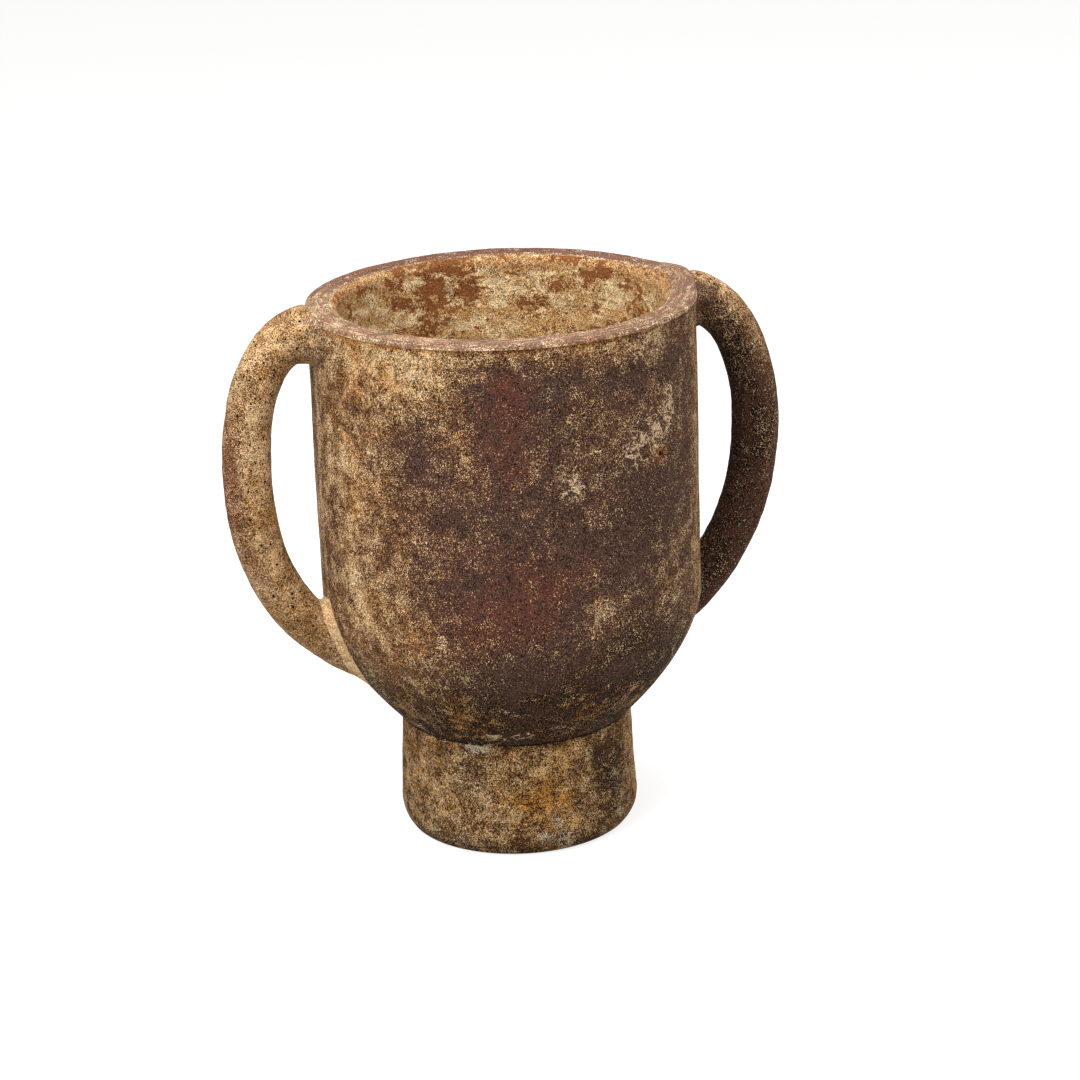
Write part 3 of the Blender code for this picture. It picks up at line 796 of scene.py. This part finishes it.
# %% Handles
# Side, top over the rim, upper bend, lower end, lean in degrees, lower bend, droop at the wall
HANDLES = {"left": (-1, 0.0060, 0.045, (0.096, 0.133), 25, 0.060, 0.0014),
           "right": (1, 0.0034, 0.035, (0.092, 0.133), 18, 0.050, 0.0020)}
DEEPEST = -0.012
handle_shapes = {}
for label, (side, rise, reach, foot_end, lean, pull, droop) in HANDLES.items():
    frames = ring_frames(handle_path(side, rise, reach, foot_end, lean, pull, 120))
    radii = []
    for place in frames:
        out = abs(place.translation.x) - WALL_R
        upper_end = place.translation.z > 0.3
        flare = smooth((0.040 - out) / 0.034) if upper_end else 0
        sink = smooth((0.003 - out) / 0.014) if upper_end else 0
        radii.append(HANDLE_R * (1 + 0.11 * flare - 0.45 * sink))
        place.translation.z -= droop * flare + 0.0105 * sink
    handle_shapes[label] = (frames, radii)
    bm = roll_of_clay(frames, radii, 88)
    roughen(bm, rough=2.0, along_normal=True)
    for v in bm.verts:
        depth = skin_gap(v.co)
        if depth < DEEPEST:
            v.co += skin_normal(v.co) * (DEEPEST - depth)
    handle = finish_piece(bm, label + "_handle_skin", label + "_handle",
                          [porous_clay])

    def handle_wear_and_shade(layers, place, facing, side=side):
        """Left: rusty where it bulges, and on its crown, with painted shade on the side that faces
        the wall. Right: sooty and darker, partly painted shade, below its top and on faces turned
        down or toward the wall, with slip left on top.
        """
        outward = facing[:, 0] * side
        height = place[:, 2]
        if side < 0:
            band = np.exp(-((height - 0.285) / 0.075) ** 2) * np.clip(1.4 * outward, 0, 1)
            layers["rust"] += 0.75 * band
            layers["tan"] -= 0.40 * band + 0.16 * np.clip((0.30 - height) / 0.15, 0, 1)
            # Painted shade on the side that faces the wall
            layers["soot_and_shade"] += 0.35 * np.clip(-outward - 0.3, 0, 1)
            crown = np.clip(2.5 * facing[:, 2] - 1.5, 0, 1)
            layers["tan"] -= 0.30 * crown
            layers["rust"] += 0.25 * crown
        else:
            # Darker below the top and on faces turned down or toward the wall: partly soot, partly
            # painted shade
            low = np.clip((0.37 - height) / 0.06, 0, 1)
            under = np.clip(0.95 - facing[:, 2], 0, 1)
            layers["tan"] -= 0.04 + 0.48 * np.maximum(under, low) + 0.14 * low
            layers["pit"] += 0.15 * (1 - low)
            layers["ochre"] -= 0.12
            near = np.clip((WALL_R + 0.022 - place[:, 0]) / 0.014, 0, 1) * (height > 0.38)
            layers["tan"] -= 0.24 * near
            layers["soot_and_shade"] += 0.15 + 0.40 * np.maximum(low, under) * np.clip(0.9 - outward, 0, 1)

    paint(handle, {"tan": 0.90, "rust": 0.18, "flake": 0.06, "soot_and_shade": 0.06, "pit": 0.75,
                   "ochre": 0.2}, None, handle_wear_and_shade)

# %% [markdown]
# ## Clay in the joints
# At each joint the potter pressed soft clay into the corner and smoothed it with a thumb. Such a
# fillet is a ring that follows the line where the handle meets the body. For each point round the
# handle, the script slides along the roll until it leaves the skin, and hangs a hollow curve from
# the handle to the body there. The upper joints reach over the rim and take its finish there.
# The left lower one is pale, wiped clay, and the right ones are as worn and sooty as the handle.

# %% Fillet rings
def roll_point(frames, radii, spot, angle):
    """Point on a handle's skin, at a fractional place along its rings."""
    i = min(int(spot), len(frames) - 2)
    share = spot - i
    ends = [frames[k] @ Vector((radii[k] * math.cos(angle), radii[k] * math.sin(angle), 0))
            for k in (i, i + 1)]
    return ends[0].lerp(ends[1], share)


def joint_corner(frames, radii, angle, first, last):
    """Slide from inside the body to outside it, and stop at the skin."""
    inside, outside = first, last
    for _ in range(30):
        middle = (inside + outside) / 2
        if skin_gap(roll_point(frames, radii, middle, angle)) < 0:
            inside = middle
        else:
            outside = middle
    return inside


def walk(spot, way, reach):
    """Go over the body's skin from a point, and turn with the surface."""
    for _ in range(8):
        last = spot
        spot = spot + way * (reach / 8)
        spot = spot - skin_normal(spot) * skin_gap(spot)
        way = (spot - last).normalized()
    return spot


def fillet(piece_name, node, frames, radii, first, last, legs, hollow, clay, worn=0.0, sides=120,
           rows=7):
    """Ring of clay in a joint, where the roll leaves the body between its first and last ring.
    The legs are its reach along the handle and over the body's skin, each below, beside and above
    the handle. Worn takes slip away and leaves soot."""
    bm = bmesh.new()
    ring = bmesh.ops.create_circle(bm, cap_ends=False, segments=sides, radius=1.0)["verts"]
    first_ring = ring
    angles = [math.atan2(v.co.y, v.co.x) for v in ring]
    profiles = []
    for angle in angles:
        spot = joint_corner(frames, radii, angle, first, last)
        corner = roll_point(frames, radii, spot, angle)
        normal = skin_normal(corner)
        centre = frames[min(int(spot), len(frames) - 1)].translation
        away = corner - centre
        away = (away - normal * away.dot(normal)).normalized()
        vary = 1 + 0.45 * noise.noise(corner * 60) + 0.3 * noise.noise(corner * 190)
        along_leg, skin_leg = [vary * (leg[1] + (leg[2] - leg[1]) * max(away.z, 0)
                                       + (leg[0] - leg[1]) * max(-away.z, 0)) for leg in legs]
        ring_gap = (frames[3].translation - frames[2].translation).length
        spread = along_leg / ring_gap if last > first else -along_leg / ring_gap
        upper = roll_point(frames, radii, min(max(spot + spread, 0), len(frames) - 1.001), angle)
        lower = walk(corner, away, skin_leg)
        bend = corner.lerp((upper + lower) / 2, hollow)
        root = corner - normal * 0.003 - away * 0.003
        line = [root, upper - away * 0.0008]
        for i in range(rows):
            t = i / (rows - 1)
            line.append(upper * (1 - t) ** 2 + bend * (2 * t * (1 - t)) + lower * t * t)
        line.append(lower - skin_normal(lower) * 0.0012)
        profiles.append(line)
    for v, line in zip(ring, profiles):
        v.co = line[0]
    edges = list(bm.edges)
    for row in range(1, len(profiles[0])):
        made = bmesh.ops.extrude_edge_only(bm, edges=edges)["geom"]
        new_ring = [None] * sides
        for g in made:
            if isinstance(g, bmesh.types.BMVert):
                old = next(e.other_vert(g) for e in g.link_edges if e.other_vert(g) in ring)
                new_ring[ring.index(old)] = g
        edges = [g for g in made if isinstance(g, bmesh.types.BMEdge)
                 and all(v in new_ring for v in g.verts)]
        for v, line in zip(new_ring, profiles):
            v.co = line[row]
        ring = new_ring
    start = [e for e in bm.edges if all(v in first_ring for v in e.verts)]
    bmesh.ops.bridge_loops(bm, edges=start + edges)
    bmesh.ops.recalc_face_normals(bm, faces=bm.faces)
    roughen(bm, rough=2.2, along_normal=True)
    for f in bm.faces:
        f.material_index = 1 if f.calc_center_median().z > RIM_TOP - 0.003 else 0
    piece = finish_piece(bm, piece_name, node, [clay, rim_clay])

    def on_rim(layers, place, facing):
        """Less slip and lime where the joint lies on the rim."""
        above = np.clip((place[:, 2] - RIM_TOP + 0.006) / 0.004, 0, 1)
        layers["flake"] -= 0.24 * above
        layers["tan"] -= 0.25 * above

    paint(piece, {"tan": 0.80 - worn, "rust": 0.10, "flake": 0.30 - 0.5 * worn,
                  "soot_and_shade": 0.06 + worn, "pit": 0.2 + worn, "ochre": 0.2 - 0.3 * worn}, None, on_rim)


for label, (frames, radii) in handle_shapes.items():
    sooty = label == "right"
    worn, under, over = (0.40, 0.014, 0.017) if sooty else (0.0, 0.028, 0.009)
    fillet(label + "_upper_joint", label + "_upper_lute", frames, radii, 0.0, 40.0,
           ((under, 0.010, over), (0.0065, 0.007, 0.018)), 0.80, porous_clay, worn)
    end = len(frames) - 1.0
    fillet(label + "_lower_joint", label + "_lower_lute", frames, radii, end, end - 90,
           ((0.0045, 0.0085, 0.007), (0.0050, 0.0105, 0.007)), 0.60,
           porous_clay if sooty else luting_clay, 0.55 if sooty else 0.0)

# %% [markdown]
# ## The bead at the foot
# A thin coil of clay was pressed into the crease between the bowl and the foot and wiped flat. It
# has a hollow face, and its edges fade into both neighbours.

# %% Foot bead
bead_top = bowl_at(bowl_turn_at(0.0884), 0.0002)
bead_low = (FOOT_TOP_R - 0.0006, 0.0866)
bead_bend = (FOOT_TOP_R - 0.0016, 0.0872)
bead_face = [[a * (1 - t) ** 2 + b * 2 * t * (1 - t) + c * t * t
              for a, b, c in zip(bead_top, bead_bend, bead_low)] for t in [i / 6 for i in range(7)]]
bead_outline = (bead_face + [(FOOT_TOP_R - 0.0022, 0.0858), (FOOT_TOP_R - 0.0030, 0.0862)]
                + [bowl_at(bowl_turn_at(0.0878), -0.0014)])
bm = spin_outline(bead_outline, 400)
roughen(bm, rough=1.5)
bead = finish_piece(bm, "foot_bead", "foot_lute", [porous_clay])
# The bead is painted nearly black: painted shade in the crease under the bowl
paint(bead, {"tan": 0.10, "rust": 0.25, "flake": 0.04, "soot_and_shade": 0.75, "pit": 0.2, "ochre": 0.1}, {
    "flake": [(-29, 87, 10, 8, 0.6), (-55, 87, 14, 8, 0.3)]})
